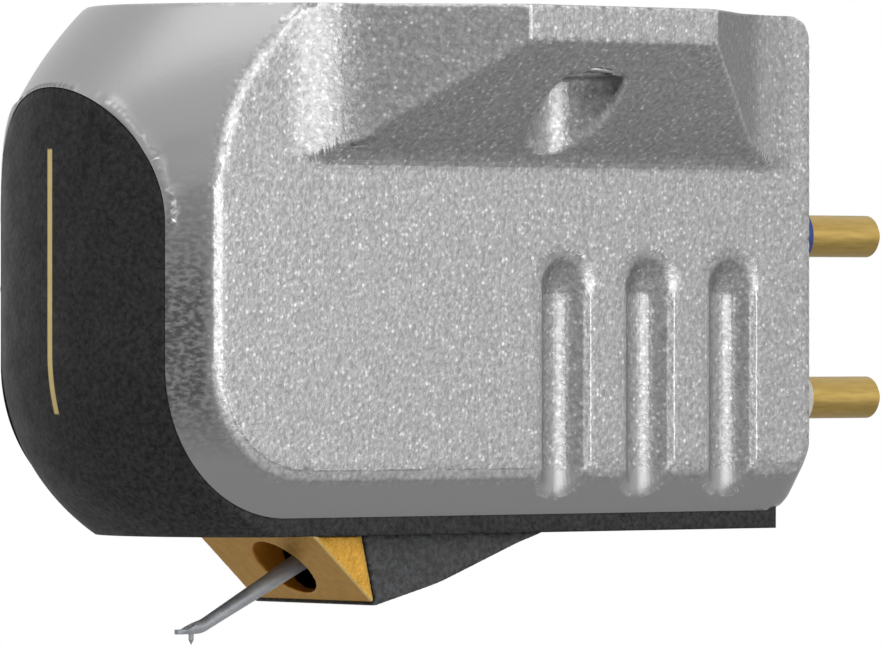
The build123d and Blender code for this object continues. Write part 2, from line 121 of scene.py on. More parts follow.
def new_material(name):
    """An empty node material: its tree, its shader and the object coordinates in millimetres."""
    material = bpy.data.materials.new(name)
    material.use_nodes = True
    tree = material.node_tree
    tree.nodes.clear()
    shader = put(tree, "ShaderNodeBsdfPrincipled")
    put(tree, "ShaderNodeOutputMaterial", {"Surface": shader.outputs["BSDF"]})
    place = put(tree, "ShaderNodeTexCoord")
    millimetres = put(
        tree, "ShaderNodeVectorMath", {0: place.outputs["Object"], "Scale": 1 / MM}, operation="SCALE"
    )
    return material, tree, shader, millimetres.outputs["Vector"]


def settle(piece):
    """Bakes a piece's modifiers into its mesh."""
    bpy.context.view_layer.update()
    evaluated = piece.evaluated_get(bpy.context.evaluated_depsgraph_get())
    piece.data = bpy.data.meshes.new_from_object(evaluated)
    piece.modifiers.clear()


def net(mesh):
    """A mesh's points, and its edges as pairs of point numbers, each both ways round."""
    points = np.empty(3 * len(mesh.vertices), np.float32)
    ends = np.empty(2 * len(mesh.edges), np.int32)
    mesh.vertices.foreach_get("co", points)
    mesh.edges.foreach_get("vertices", ends)
    ends = ends.reshape(-1, 2)
    return points.reshape(-1, 3).astype(float), np.concatenate([ends, ends[:, ::-1]])


def copy_of(name):
    """A merged copy of a CAD node, in millimetres while it is worked on."""
    shape = bmesh.new()
    shape.from_mesh(frame["nodes"][name].data)
    bmesh.ops.remove_doubles(shape, verts=shape.verts, dist=0.002 * MM)
    bmesh.ops.scale(shape, vec=(1 / MM, 1 / MM, 1 / MM), verts=shape.verts)
    mesh = bpy.data.meshes.new(name + "_eased")
    shape.to_mesh(mesh)
    shape.free()
    piece = bpy.data.objects.new(name + "_eased", mesh)
    bpy.context.scene.collection.objects.link(piece)
    return piece


def put_in_place(piece, name, material):
    """Brings a worked copy back to metres, dresses it and lets it stand for its CAD node."""
    piece.data.transform(Matrix.Scale(MM, 4))
    piece.data.materials.clear()
    piece.data.materials.append(material)
    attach(piece, frame["nodes"][name]["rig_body"])
    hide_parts(name)


def facing(mesh):
    """The direction each point of a mesh faces."""
    normals = np.empty(3 * len(mesh.vertices), np.float32)
    mesh.vertex_normals.foreach_get("vector", normals)
    return normals.reshape(-1, 3).astype(float)


def cut_fine(piece, longest, skip=None):
    """Halves a copy's long edges, then tells which points are on sharp edges and where all face."""
    shape = bmesh.new()
    shape.from_mesh(piece.data)
    bmesh.ops.triangulate(shape, faces=shape.faces[:])
    for turn in range(10):
        long = [
            edge for edge in shape.edges if edge.calc_length() > longest and not (skip and skip(edge))
        ]
        bmesh.ops.subdivide_edges(shape, edges=long, cuts=1)
        bmesh.ops.triangulate(shape, faces=[face for face in shape.faces if len(face.verts) > 3])
    shape.verts.index_update()
    crease = np.zeros(len(shape.verts), bool)
    for edge in shape.edges:
        if edge.is_manifold and edge.calc_face_angle() > SHARP:
            crease[[end.index for end in edge.verts]] = True
    shape.to_mesh(piece.data)
    shape.free()
    return crease, facing(piece.data)


def eased(name, material, grain, rounds, triangles, share, true_form=None, skip=None):
    """A CAD node's own form in fine triangles, with true curves and edges eased by a share at each point."""
    piece = copy_of(name)
    if true_form:
        crease, normals = cut_fine(piece, grain, skip)
        points, ends = net(piece.data)
        true_form(points, crease, normals)
    else:
        grid = piece.modifiers.new("grid", "REMESH")
        grid.mode = "VOXEL"
        grid.voxel_size = grain
        settle(piece)
        points, ends = net(piece.data)
    # Each round draws every point towards its neighbours, the near ones most.
    weight = 0.5 * share(points)[:, None]
    step = points[ends[:, 1]] - points[ends[:, 0]]
    pull = 1 / np.maximum(np.sqrt(np.einsum("ij,ij->i", step, step)), 0.02)
    total = np.maximum(np.bincount(ends[:, 0], pull, len(points)), 1e-6)
    for turn in range(rounds):
        drawn = [np.bincount(ends[:, 0], pull * points[ends[:, 1], axis], len(points)) for axis in range(3)]
        points += weight * (np.stack([sums / total for sums in drawn], 1) - points)
    piece.data.vertices.foreach_set("co", points.astype(np.float32).ravel())
    piece.data.calc_loop_triangles()
    thin = piece.modifiers.new("thin", "DECIMATE")
    thin.ratio = min(1.0, triangles / len(piece.data.loop_triangles))
    free = np.flatnonzero(share(points) > 0)
    if len(free) < len(points):
        group = piece.vertex_groups.new(name="free")
        group.add(free.tolist(), 1.0, "REPLACE")
        thin.vertex_group = group.name
    settle(piece)
    piece.vertex_groups.clear()
    # How sharply the surface falls away round a point tells the material where the edges are.
    mesh = piece.data
    points, ends = net(mesh)
    normals = facing(mesh)
    step = points[ends[:, 1]] - points[ends[:, 0]]
    length = np.maximum(np.einsum("ij,ij->i", step, step), 1e-9)
    fall = -np.einsum("ij,ij->i", step, normals[ends[:, 0]]) / length
    neighbours = np.maximum(np.bincount(ends[:, 0], minlength=len(points)), 1)
    bend = np.where(share(points) > 0.05, np.bincount(ends[:, 0], fall, len(points)) / neighbours, 0)
    edge = mesh.attributes.new("edge", "FLOAT", "POINT")
    edge.data.foreach_set("value", np.clip(bend, -8, 8).astype(np.float32))
    # A seam that is not eased stays crisp, and slivers have little say in how the rest is shaded.
    mesh.shade_smooth()
    mesh.set_sharp_from_angle(angle=CRISP)
    held = share(points) <= 0
    if held.any():
        crisp = np.zeros(len(mesh.edges), bool)
        mesh.attributes["sharp_edge"].data.foreach_get("value", crisp)
        crisp |= held[ends[:len(crisp), 0]] & held[ends[:len(crisp), 1]]
        mesh.attributes["sharp_edge"].data.foreach_set("value", crisp)
    broad = piece.modifiers.new("broad", "WEIGHTED_NORMAL")
    broad.mode = "FACE_AREA"
    broad.weight = 80
    broad.keep_sharp = True
    settle(piece)
    put_in_place(piece, name, material)


def on_nose_wall(points, lowest):
    """Puts points near the nose's upright round wall on it, down to some height."""
    away = np.hypot(points[:, 0] - NOSE_AXIS, points[:, 1])
    near = (points[:, 0] < NOSE_AXIS) & (np.abs(away - NOSE_RADIUS) < FACET) & (points[:, 2] > lowest)
    stretch = np.where(near, NOSE_RADIUS / np.maximum(away, FACET), 1)
    points[:, 0] = NOSE_AXIS + (points[:, 0] - NOSE_AXIS) * stretch
    points[:, 1] *= stretch


def on_hood(points):
    """Puts points near the round heads of the hood's arches on them."""
    run = points[:, 0] - HOOD_STATION
    radius = HOOD_RADIUS[0] + HOOD_RADIUS[1] * run + HOOD_RADIUS[2] * run ** 2
    centre = HOOD_CENTRE[0] + HOOD_CENTRE[1] * run
    up = points[:, 2] - centre
    away = np.hypot(points[:, 1], up)
    front = points[:, 0] < HOOD_REAR
    head = front & (up > radius * math.sin(HOOD_DRAFT)) & (np.abs(away - radius) < 2 * FACET)
    head &= np.abs(points[:, 1]) < RIM_START - 0.04
    stretch = np.where(head, radius / np.maximum(away, FACET), 1)
    points[:, 1] *= stretch
    points[:, 2] = np.minimum(centre + up * stretch, 0)


def from_arch(points):
    """How far points lie from the middle line of the round-headed rebate that holds the moulding."""
    up = np.maximum(points[:, 2] - ARCH_SPRING, 0)
    return np.hypot(points[:, 1], up)


def on_arch(points, near, half_width):
    """Puts chosen points on a round-headed wall."""
    stretch = np.where(near, half_width / np.maximum(from_arch(points), FACET), 1)
    points[:, 1] *= stretch
    round_head = points[:, 2] > ARCH_SPRING
    points[:, 2] = np.where(round_head, ARCH_SPRING + (points[:, 2] - ARCH_SPRING) * stretch, points[:, 2])


def on_band(points, crease):
    """Puts points near the round corner of the bevel band and its rim on it."""
    side = np.abs(points[:, 1])
    inset = BAND_HEIGHT * (side - BAND_INNER) / (BAND_OUTER - BAND_INNER)
    inset += RIM_SLOPE * np.maximum(side - RIM_START, 0)
    radius = BAND_CORNER_RADIUS - inset
    x = points[:, 0] - BAND_CORNER[0]
    z = points[:, 2] - BAND_CORNER[1]
    away = np.hypot(x, z)
    on_side = (side > BAND_INNER - 0.01) & (side < np.where(crease, BAND_OUTER + 0.01, BAND_OUTER - 0.01))
    corner = on_side & (x < 0) & (z < 0) & (np.abs(away - radius) < FACET)
    stretch = np.where(corner, radius / np.maximum(away, FACET), 1)
    points[:, 0] += x * (stretch - 1)
    points[:, 2] += z * (stretch - 1)


def on_gussets(points):
    """Rounds the hollows where an ear's gussets run into the pad."""
    for foot, ahead, turn in GUSSETS:
        x = ahead * (points[:, 0] - foot) + GUSSET_HOLLOW * math.tan(turn / 2)
        out = np.abs(points[:, 1]) - BAND_OUTER - GUSSET_HOLLOW
        away = np.hypot(x, out)
        sector = (x > 0) & (out < 0) & (x < -out * math.tan(turn))
        deep = (away > GUSSET_HOLLOW) & (away < GUSSET_HOLLOW / math.cos(turn / 2) + FACET / 2)
        near = sector & deep & (points[:, 2] > np.abs(points[:, 1]) - UNDERSIDE)
        stretch = np.where(near, GUSSET_HOLLOW / np.maximum(away, FACET), 1)
        points[:, 0] += ahead * x * (stretch - 1)
        points[:, 1] += np.sign(points[:, 1]) * out * (stretch - 1)


def on_holes(points):
    """Puts points near the walls of the mounting holes on them."""
    away = np.hypot(points[:, 0], np.abs(points[:, 1]) - HOLE_SIDE)
    for radius in HOLE_RADII:
        stretch = np.where(np.abs(away - radius) < 0.03, radius / np.maximum(away, FACET), 1)
        out = np.abs(points[:, 1]) - HOLE_SIDE
        points[:, 0] *= stretch
        points[:, 1] += np.sign(points[:, 1]) * out * (stretch - 1)


def arch_facing(points, normals):
    """How squarely points face away from the rebate's middle line."""
    up = np.maximum(points[:, 2] - ARCH_SPRING, 0)
    return (points[:, 1] * normals[:, 1] + up * normals[:, 2]) / np.maximum(from_arch(points), FACET)


def on_body(points, crease, normals):
    """The body's true curves: hood, nose wall, rebate, bevel band, gusset hollows and holes."""
    off = np.abs(from_arch(points) - BAND_INNER)
    edge = crease & (off < SEAM_REACH)
    wall = ~crease & (off < WALL_REACH) & (arch_facing(points, normals) < -0.8)
    outer_ones = ~edge & ~wall
    outer = points[outer_ones]
    on_hood(outer)
    on_nose_wall(outer, ARCH_SPRING)
    on_band(outer, crease[outer_ones])
    on_gussets(outer)
    on_holes(outer)
    points[outer_ones] = outer
    lip = points[edge]
    every = np.ones(len(lip), bool)
    for turn in range(8):
        on_hood(lip)
        on_nose_wall(lip, ARCH_SPRING)
        on_arch(lip, every, BAND_INNER)
    on_band(lip, every)
    points[edge] = lip
    on_arch(points, wall, BAND_INNER)


def inside_body(edge):
    """The walls of the cavity, which nothing shows."""
    places = [end.co for end in edge.verts]
    return all(abs(p.y) < CAVITY_HALF and p.z < CAVITY_TOP and p.x > CAVITY_FRONT for p in places)


def body_share(points):
    """Flute lips are eased most, other edges less, and the seam with the moulding hardly at all."""
    along = points[:, 0]
    flutes = (along > FLUTE_FRONT) & (along < FLUTE_REAR) & (points[:, 2] < FLUTE_TOP)
    flutes &= np.abs(points[:, 1]) > FLUTE_FLOOR
    seam = np.clip((from_arch(points) - BAND_INNER - SEAM_HELD) / SEAM_FADE, 0, 1)
    return np.where(flutes, 1.0, 0.3) * np.where(along < REAR_WALL, seam, 1)


blasted, tree, shader, mm = new_material("bead-blasted aluminium, clear anodised")
# Blasting leaves overlapping dimples about 0.1 mm across. The glints off some of their facets are painted in as
# near-white specks on the coarse areas.
axes = put(tree, "ShaderNodeSeparateXYZ", {0: mm})
side = put(tree, "ShaderNodeMath", {0: axes.outputs["Y"]}, operation="ABSOLUTE")
pads = put(tree, "ShaderNodeMapRange", {"Value": side.outputs[0], "From Min": 4.5, "From Max": 4.75})
groove = put(tree, "ShaderNodeMapRange", {"Value": side.outputs[0], "From Min": 4.1, "From Max": 4.2})
behind = put(tree, "ShaderNodeMapRange", {"Value": axes.outputs["X"], "From Min": -0.5, "From Max": -0.2})
above = put(tree, "ShaderNodeMapRange", {"Value": axes.outputs["Z"], "From Min": -13.7, "From Max": -13.4})
fluted = put(tree, "ShaderNodeMath", {0: groove.outputs[0], 1: behind.outputs[0]}, operation="MULTIPLY")
fluted = put(tree, "ShaderNodeMath", {0: fluted.outputs[0], 1: above.outputs[0]}, operation="MULTIPLY")
coarse = put(tree, "ShaderNodeMath", {0: pads.outputs[0], 1: fluted.outputs[0]}, operation="MAXIMUM")
dimples = put(tree, "ShaderNodeTexNoise", {"Vector": mm, "Scale": 6.5, "Detail": 2.5, "Roughness": 0.65})
tone = put(tree, "ShaderNodeMapRange", {"Value": dimples.outputs["Fac"], "From Min": 0.3, "From Max": 0.7})
grey = put(
    tree, "ShaderNodeMix", {"Factor": tone.outputs[0], 6: linear("#8B8B8B"), 7: linear("#AFAFAF")}, data_type="RGBA"
)
facets = put(tree, "ShaderNodeTexVoronoi", {"Vector": mm, "Scale": 8.0})
facet_tone = put(tree, "ShaderNodeSeparateColor", {"Color": facets.outputs["Color"]})
chosen = put(tree, "ShaderNodeMapRange", {"Value": facet_tone.outputs["Red"], "From Min": 0.6, "From Max": 1.0})
inside = put(tree, "ShaderNodeMapRange", {"Value": facets.outputs["Distance"], "From Min": 0.6, "From Max": 0.2})
flash = put(tree, "ShaderNodeMath", {0: chosen.outputs[0], 1: inside.outputs[0]}, operation="MULTIPLY")
flash = put(tree, "ShaderNodeMath", {0: flash.outputs[0], 1: tone.outputs[0]}, operation="MULTIPLY")
flash_here = put(tree, "ShaderNodeMath", {0: flash.outputs[0], 1: coarse.outputs[0]}, operation="MULTIPLY")
# The hood was rubbed smooth. Lower down the bevel strip beside the nose, a wrinkled grain carries painted shade, which
# grows darker towards the bottom of the strip.
wrinkled = put(tree, "ShaderNodeVectorMath", {0: mm, 1: (5.0, 5.0, 9.0)}, operation="MULTIPLY")
wrinkles = put(tree, "ShaderNodeTexNoise", {"Vector": wrinkled.outputs[0], "Scale": 1.0, "Detail": 2.5})
lower = put(tree, "ShaderNodeMapRange", {"Value": axes.outputs["Z"], "From Min": -4.5, "From Max": -8.5})
ahead = put(tree, "ShaderNodeMapRange", {"Value": axes.outputs["X"], "From Min": -9.5, "From Max": -11.0})
kept = put(tree, "ShaderNodeMapRange", {"Value": axes.outputs["Z"], "From Min": -13.2, "From Max": -11.2})
left = put(tree, "ShaderNodeMath", {0: lower.outputs[0], 1: ahead.outputs[0]}, operation="MULTIPLY")
left = put(tree, "ShaderNodeMath", {0: left.outputs[0], 1: kept.outputs[0]}, operation="MULTIPLY")
depth = put(
    tree,
    "ShaderNodeMapRange",
    {"Value": wrinkles.outputs["Fac"], "From Min": 0.35, "From Max": 0.6, "To Min": 0.25},
)
# Painted shade: the wrinkle grain, kept low on the strip, darkens it towards a deep grey.
grain_and_painted_shade = put(tree, "ShaderNodeMath", {0: left.outputs[0], 1: depth.outputs[0]}, operation="MULTIPLY")
smooth_with_painted_shade = put(
    tree,
    "ShaderNodeMix",
    {"Factor": grain_and_painted_shade.outputs[0], 6: linear("#A0A0A0"), 7: linear("#5E5E5F")},
    data_type="RGBA",
)
both = put(
    tree,
    "ShaderNodeMix",
    {"Factor": coarse.outputs[0], 6: smooth_with_painted_shade.outputs[2], 7: grey.outputs[2]},
    data_type="RGBA",
)
# Eased edges and the pads' rim carry a painted highlight: a light grey, flecked by the dimple tone, where their
# rounding catches the light.
eased_edge = put(tree, "ShaderNodeAttribute", attribute_name="edge")
glitter = put(
    tree,
    "ShaderNodeMapRange",
    {"Value": tone.outputs[0], "From Min": 0.2, "From Max": 0.9, "To Min": 0.35, "To Max": 1.0},
)
highlight_bend = put(tree, "ShaderNodeMapRange", {"Value": eased_edge.outputs["Fac"], "From Min": 0.4, "From Max": 1.4})
outer = put(tree, "ShaderNodeMapRange", {"Value": side.outputs[0], "From Min": 4.66, "From Max": 4.72})
inner = put(tree, "ShaderNodeMapRange", {"Value": side.outputs[0], "From Min": 4.79, "From Max": 4.77})
rim = put(tree, "ShaderNodeMath", {0: outer.outputs[0], 1: inner.outputs[0]}, operation="MULTIPLY")
smooth = put(tree, "ShaderNodeMapRange", {"Value": fluted.outputs[0], "To Min": 1.0, "To Max": 0.5})
rim = put(tree, "ShaderNodeMath", {0: rim.outputs[0], 1: smooth.outputs[0]}, operation="MULTIPLY")
sharp = put(tree, "ShaderNodeMath", {0: highlight_bend.outputs[0], 1: rim.outputs[0]}, operation="MAXIMUM")
painted_edge_highlight = put(tree, "ShaderNodeMath", {0: sharp.outputs[0], 1: glitter.outputs[0]}, operation="MULTIPLY")
edged = put(
    tree, "ShaderNodeMix", {"Factor": painted_edge_highlight.outputs[0], 6: both.outputs[2], 7: linear("#D0D0D0")}, data_type="RGBA"
)
# Painted glints: the near-white specks go into the base colour here.
with_painted_glints = put(
    tree,
    "ShaderNodeMix",
    {"Factor": flash_here.outputs[0], 6: edged.outputs[2], 7: linear("#F0F0F0")},
    data_type="RGBA",
)
relief = put(tree, "ShaderNodeMapRange", {"Value": coarse.outputs[0], "To Min": 0.08, "To Max": 0.42})
bump = put(
    tree,
    "ShaderNodeBump",
    {"Strength": relief.outputs[0], "Distance": 0.04 * MM, "Height": dimples.outputs["Fac"]},
)
tree.links.new(with_painted_glints.outputs[2], shader.inputs["Base Color"])
tree.links.new(bump.outputs["Normal"], shader.inputs["Normal"])
shader.inputs["Metallic"].default_value = 0.85
shader.inputs["Roughness"].default_value = 0.34
eased("body_casting", blasted, BODY_GRAIN, 8, BODY_TRIANGLES, body_share, on_body, inside_body)

# Threads: the crest of the M2.5 thread in both mounting holes, left bright by the tap,
# which winds down each bored hole by 0.45 mm a turn.
THREAD_PITCH = 0.45
THREAD_TURNS = 4.2
THREAD_RADIUS = 1.06
THREAD_CREST = 0.09
THREAD_FOOT = -1.94


def named_inputs(piece, group, values):
    """Sets a Geometry Nodes modifier's inputs by name, through their identifiers."""
    modifier = piece.modifiers.new(group.name, "NODES")
    modifier.node_group = group
    for item in group.interface.items_tree:
        if item.item_type == "SOCKET" and item.in_out == "INPUT":
            modifier[item.identifier] = values[item.name]


tapped, tree, shader, mm = new_material("aluminium, freshly tapped")
# The tap's teeth chatter along the cut, which shows as light and dark about 0.1 mm apart.
chatter = put(tree, "ShaderNodeTexNoise", {"Vector": mm, "Scale": 9.0, "Detail": 3.0, "Roughness": 0.6})
cut = put(
    tree,
    "ShaderNodeMix",
    {"Factor": chatter.outputs["Fac"], 6: linear("#8E8F91"), 7: linear("#D2D3D5")},
    data_type="RGBA",
)
tree.links.new(cut.outputs[2], shader.inputs["Base Color"])
shader.inputs["Metallic"].default_value = 1.0
shader.inputs["Roughness"].default_value = 0.28

winding = bpy.data.node_groups.new("winding", "GeometryNodeTree")
winding.is_modifier = True
for label in ("Turns", "Radius", "Height", "Crest", "Spacing", "Foot"):
    winding.interface.new_socket(label, in_out="INPUT", socket_type="NodeSocketFloat")
winding.interface.new_socket("Geometry", in_out="OUTPUT", socket_type="NodeSocketGeometry")
given = put(winding, "NodeGroupInput").outputs
helix = put(
    winding,
    "GeometryNodeCurveSpiral",
    {
        "Resolution": 40,
        "Rotations": given["Turns"],
        "Start Radius": given["Radius"],
        "End Radius": given["Radius"],
        "Height": given["Height"],
    },
)
profile = put(winding, "GeometryNodeCurvePrimitiveCircle", {"Resolution": 3, "Radius": given["Crest"]})
crest = put(
    winding,
    "GeometryNodeCurveToMesh",
    {"Curve": helix.outputs["Curve"], "Profile Curve": profile.outputs["Curve"], "Fill Caps": True},
)
half = put(winding, "ShaderNodeMath", {0: given["Spacing"], 1: -0.5}, operation="MULTIPLY")
first = put(winding, "ShaderNodeCombineXYZ", {"Y": half.outputs[0], "Z": given["Foot"]})
apart = put(winding, "ShaderNodeCombineXYZ", {"Y": given["Spacing"]})
holes = put(
    winding, "GeometryNodeMeshLine", {"Count": 2, "Start Location": first.outputs[0], "Offset": apart.outputs[0]}
)
placed = put(
    winding, "GeometryNodeInstanceOnPoints", {"Points": holes.outputs["Mesh"], "Instance": crest.outputs["Mesh"]}
)
real = put(winding, "GeometryNodeRealizeInstances", {"Geometry": placed.outputs["Instances"]})
finished = put(winding, "GeometryNodeSetMaterial", {"Geometry": real.outputs["Geometry"], "Material": tapped})
put(winding, "NodeGroupOutput", {"Geometry": finished.outputs["Geometry"]})
threads = bpy.data.objects.new("mounting_threads", bpy.data.meshes.new("mounting_threads"))
bpy.context.scene.collection.objects.link(threads)
named_inputs(
    threads,
    winding,
    {
        "Turns": THREAD_TURNS,
        "Radius": THREAD_RADIUS * MM,
        "Height": THREAD_TURNS * THREAD_PITCH * MM,
        "Crest": THREAD_CREST * MM,
        "Spacing": 2 * HOLE_SIDE * MM,
        "Foot": THREAD_FOOT * MM,
    },
)
settle(threads)
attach(threads, frame["nodes"]["body_casting"]["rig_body"])

# Nose and base: one L-shaped moulding of glass-filled nylon, satin black with a fine
# mould texture, pressed into the body's rebate from the front and below. A thin gold
# line foil-stamped down the front shows where the stylus stands.
NOSE_ROUND_RADIUS = 6.54
NOSE_ROUND_TOP = -10.0
NOSE_HALF = 3.86
NOSE_CUT = 0.25
BASE_BOTTOM = -15.34
LINE_HALF = 0.11
LINE_TOP = -4.2
LINE_BOTTOM = -11.8
LINE_REAR = -13.0


def on_nose(points, crease, normals):
    """The moulding's true curves: upright wall, round belly, hood, and the wall that fits the rebate."""
    near = np.abs(from_arch(points) - NOSE_HALF) < WALL_REACH
    edge = near & crease
    rim = edge | near & (arch_facing(points, normals) > 0.93)
    for turn in range(8):
        lip = points[edge]
        on_hood(lip)
        on_nose_wall(lip, NOSE_ROUND_TOP)
        on_arch(lip, np.ones(len(lip), bool), NOSE_HALF)
        points[edge] = lip
    on_arch(points, rim, NOSE_HALF)
    outer = points[~rim]
    on_hood(outer)
    on_nose_wall(outer, NOSE_ROUND_TOP)
    points[~rim] = outer
    x = points[:, 0] - NOSE_AXIS
    around = np.maximum(np.hypot(x, points[:, 1]), FACET)
    out = around - (NOSE_RADIUS - NOSE_ROUND_RADIUS)
    down = points[:, 2] - NOSE_ROUND_TOP
    away = np.hypot(out, down)
    belly = (x < 0) & (out > 0) & (down < 0) & (crease | ~rim)
    belly &= np.abs(away - NOSE_ROUND_RADIUS) < 2 * FACET
    stretch = np.where(belly, NOSE_ROUND_RADIUS / np.maximum(away, FACET), 1)
    turned = np.where(belly, (NOSE_RADIUS - NOSE_ROUND_RADIUS + out * stretch) / around, 1)
    points[:, 0] = NOSE_AXIS + x * turned
    points[:, 1] *= np.where(rim, 1, turned)
    points[:, 2] = np.maximum(NOSE_ROUND_TOP + down * stretch, BASE_BOTTOM)


satin_black, tree, shader, mm = new_material("glass-filled nylon, satin black")
# The mould's spark texture gives a fine grey speckle, about 0.1 mm, that shows in highlights.
speckle = put(tree, "ShaderNodeTexNoise", {"Vector": mm, "Scale": 6.0, "Detail": 3.0, "Roughness": 0.7})
clouds = put(tree, "ShaderNodeTexNoise", {"Vector": mm, "Scale": 1.1, "Detail": 2.0, "Roughness": 0.5})
grains = put(tree, "ShaderNodeMapRange", {"Value": speckle.outputs["Fac"], "From Min": 0.35, "From Max": 0.75})
black = put(
    tree,
    "ShaderNodeMix",
    {"Factor": grains.outputs[0], 6: linear("#0D0D0E"), 7: linear("#424243")},
    data_type="RGBA",
)
axes = put(tree, "ShaderNodeSeparateXYZ", {0: mm})
side = put(tree, "ShaderNodeMath", {0: axes.outputs["Y"]}, operation="ABSOLUTE")
across = put(
    tree,
    "ShaderNodeMapRange",
    {"Value": side.outputs[0], "From Min": LINE_HALF + 0.02, "From Max": LINE_HALF - 0.02},
)
middle = put(
    tree, "ShaderNodeMath", {0: axes.outputs["Z"], 1: -(LINE_TOP + LINE_BOTTOM) / 2}, operation="ADD"
)
height = put(tree, "ShaderNodeMath", {0: middle.outputs[0]}, operation="ABSOLUTE")
along = put(
    tree,
    "ShaderNodeMapRange",
    {
        "Value": height.outputs[0],
        "From Min": (LINE_TOP - LINE_BOTTOM) / 2 + 0.03,
        "From Max": (LINE_TOP - LINE_BOTTOM) / 2 - 0.03,
    },
)
front = put(tree, "ShaderNodeMath", {0: axes.outputs["X"], 1: LINE_REAR}, operation="LESS_THAN")
line = put(tree, "ShaderNodeMath", {0: across.outputs[0], 1: along.outputs[0]}, operation="MULTIPLY")
line = put(tree, "ShaderNodeMath", {0: line.outputs[0], 1: front.outputs[0]}, operation="MULTIPLY")
stamped = put(
    tree,
    "ShaderNodeMix",
    {"Factor": line.outputs[0], 6: black.outputs[2], 7: linear("#CDBB84")},
    data_type="RGBA",
)
sheen = put(
    tree,
    "ShaderNodeMapRange",
    {"Value": clouds.outputs["Fac"], "From Min": 0.3, "From Max": 0.7, "To Min": 0.52, "To Max": 0.66},
)
bump = put(
    tree, "ShaderNodeBump", {"Strength": 0.35, "Distance": 0.03 * MM, "Height": speckle.outputs["Fac"]}
)
tree.links.new(stamped.outputs[2], shader.inputs["Base Color"])
tree.links.new(line.outputs[0], shader.inputs["Metallic"])
shader.inputs["Specular IOR Level"].default_value = 0.25
tree.links.new(sheen.outputs[0], shader.inputs["Roughness"])
tree.links.new(bump.outputs["Normal"], shader.inputs["Normal"])
nose = copy_of("nose_base")
crease, normals = cut_fine(nose, NOSE_CUT)
points, ends = net(nose.data)
on_nose(points, crease, normals)
nose.data.vertices.foreach_set("co", points.astype(np.float32).ravel())
nose.data.shade_smooth()
nose.data.set_sharp_from_angle(angle=math.radians(30))
put_in_place(nose, "nose_base", satin_black)

# Front yoke: soft iron, milled with a sloping face round the hole, then gold plated.
# Its eased edges carry a painted highlight in a paler gold.
HOLE_MIDDLE = (-5.858, 0.0, -16.340)
HOLE_AXIS = (0.896, 0.0, 0.445)
HOLE_RADIUS = 1.05


def evenly(points):
    """Every edge is eased alike."""
    return np.ones(len(points))


gold, tree, shader, mm = new_material("gold plate on milled iron")
# The cutter's marks, about 0.3 mm apart, show through the thin plating.
grind = put(tree, "ShaderNodeTexNoise", {"Vector": mm, "Scale": 3.6, "Detail": 5.0, "Roughness": 0.68})
yellow = put(
    tree,
    "ShaderNodeMix",
    {"Factor": grind.outputs["Fac"], 6: linear("#A27224"), 7: linear("#CBA04C")},
    data_type="RGBA",
)
# Painted highlight: where the edge attribute marks an eased edge, the gold is lifted towards a pale yellow.
plated_edge = put(tree, "ShaderNodeAttribute", attribute_name="edge")
painted_edge_highlight = put(
    tree,
    "ShaderNodeMapRange",
    {"Value": plated_edge.outputs["Fac"], "From Min": 0.8, "From Max": 3.5, "To Max": 0.6},
)
bright = put(
    tree,
    "ShaderNodeMix",
    {"Factor": painted_edge_highlight.outputs[0], 6: yellow.outputs[2], 7: linear("#F2DC9A")},
    data_type="RGBA",
)
# Inside the hole, the gold walls' reflections of each other are painted in: the bore is tinted a deep amber and made
# less metallic so that it takes up diffuse light.
from_hole = put(tree, "ShaderNodeVectorMath", {0: mm, 1: HOLE_MIDDLE}, operation="SUBTRACT")
aside = put(tree, "ShaderNodeVectorMath", {0: from_hole.outputs[0], 1: HOLE_AXIS}, operation="CROSS_PRODUCT")
reach = put(tree, "ShaderNodeVectorMath", {0: aside.outputs[0]}, operation="LENGTH")
bore = put(
    tree,
    "ShaderNodeMapRange",
    {"Value": reach.outputs["Value"], "From Min": HOLE_RADIUS + 0.08, "From Max": HOLE_RADIUS + 0.02},
)
hole_painted_reflection = put(
    tree,
    "ShaderNodeMix",
    {"Factor": bore.outputs[0], 6: bright.outputs[2], 7: linear("#B87A1C")},
    data_type="RGBA",
)
metal = put(tree, "ShaderNodeMapRange", {"Value": bore.outputs[0], "To Min": 1.0, "To Max": 0.3})
bump = put(tree, "ShaderNodeBump", {"Strength": 0.6, "Distance": 0.05 * MM, "Height": grind.outputs["Fac"]})
tree.links.new(hole_painted_reflection.outputs[2], shader.inputs["Base Color"])
tree.links.new(metal.outputs[0], shader.inputs["Metallic"])
tree.links.new(bump.outputs["Normal"], shader.inputs["Normal"])
shader.inputs["Roughness"].default_value = 0.38
eased("front_yoke", gold, 0.04, 2, 40000, evenly)

# Magnet, rear yoke and pole pin: a nickel-plated bar magnet bonded between the yokes, and soft
# iron ground on its faces, with the pole pin pressed into the rear yoke's bore.
def dress(material, *names):
    """Gives CAD nodes a material in their slot."""
    for name in names:
        mesh = frame["nodes"][name].data
        mesh.materials.clear()
        mesh.materials.append(material)


